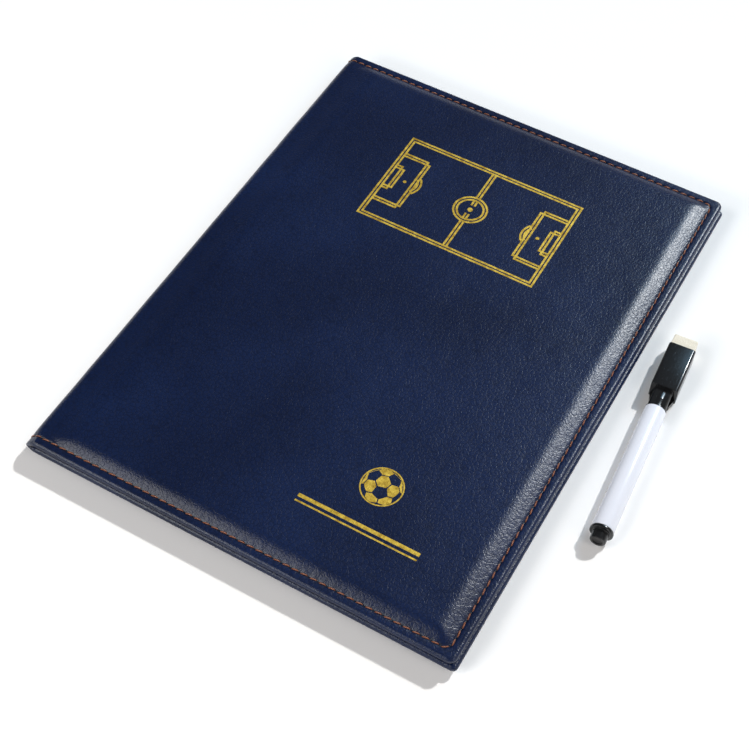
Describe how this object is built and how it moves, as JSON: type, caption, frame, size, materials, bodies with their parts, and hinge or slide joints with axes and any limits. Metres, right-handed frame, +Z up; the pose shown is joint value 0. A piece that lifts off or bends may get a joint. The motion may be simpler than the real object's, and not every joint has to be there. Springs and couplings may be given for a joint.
{
  "type": "folding tactics board",
  "caption": "Book-style folding tactics board: padded leather covers on a soft spine, magnetic dry-erase pitch sheets inside, with a capped marker that has an eraser.",
  "frame": {"origin": "middle of the back cover's flat resting face, with the board closed", "axes": "+X from the spine to the fore-edge, +Y from the bottom edge to the top edge, +Z up out of the front cover"},
  "size_m": [0.2729, 0.32, 0.0156],
  "materials": {
    "leather": "grained imitation leather, semi-gloss",
    "lining": "thin lining, matt",
    "foam": "open-cell foam, hidden",
    "greyboard": "bare greyboard, hidden",
    "adhesive": "double-sided film, hidden",
    "steel": "thin galvanised sheet, hidden",
    "pitch": "printed dry-erase film, glossy",
    "white_plastic": "glossy",
    "black_plastic": "glossy",
    "fibre": "ink-soaked fibre",
    "felt": "pressed wool felt"
  },
  "bodies": {
    "back_cover": {"back_skin": "leather", "back_foam": "foam", "back_stiffener": "greyboard", "back_adhesive_film": "adhesive", "back_steel_sheet": "steel", "back_pitch_sheet": "pitch", "back_lining_flap": "lining"},
    "spine": {"spine_skin": "leather", "spine_lining": "lining"},
    "front_cover": {"front_skin": "leather", "front_foam": "foam", "front_stiffener": "greyboard", "front_adhesive_film": "adhesive", "front_steel_sheet": "steel", "front_pitch_sheet": "pitch", "front_lining_flap": "lining"},
    "marker": {"marker_barrel": "white_plastic", "marker_tail_plug": "black_plastic", "marker_ink_reservoir": "fibre", "marker_nib_section": "black_plastic", "marker_nib": "fibre"},
    "cap": {"marker_cap": "black_plastic", "marker_cap_eraser": "felt"}
  },
  "joints": [
    {"name": "crease_back", "type": "hinge", "parent": "back_cover", "child": "spine", "pos_m": [-0.12114, 0, 0.00426], "axis": [0, -1, 0], "range_deg": [0, 90]},
    {"name": "crease_front", "type": "hinge", "parent": "spine", "child": "front_cover", "pos_m": [-0.12114, 0, 0.01134], "axis": [0, -1, 0], "range_deg": [0, 90]},
    {"name": "marker_lift", "type": "slide", "parent": "back_cover", "child": "marker", "axis": [0, 0, 1], "range_m": [0, 0.1]},
    {"name": "cap_pull", "type": "slide", "parent": "marker", "child": "cap", "axis": [-0.075, 0.9972, 0], "range_m": [0, 0.045]}
  ],
  "couplings": [
    {"joint": "crease_back", "follows": "crease_front", "ratio": 1}
  ]
}
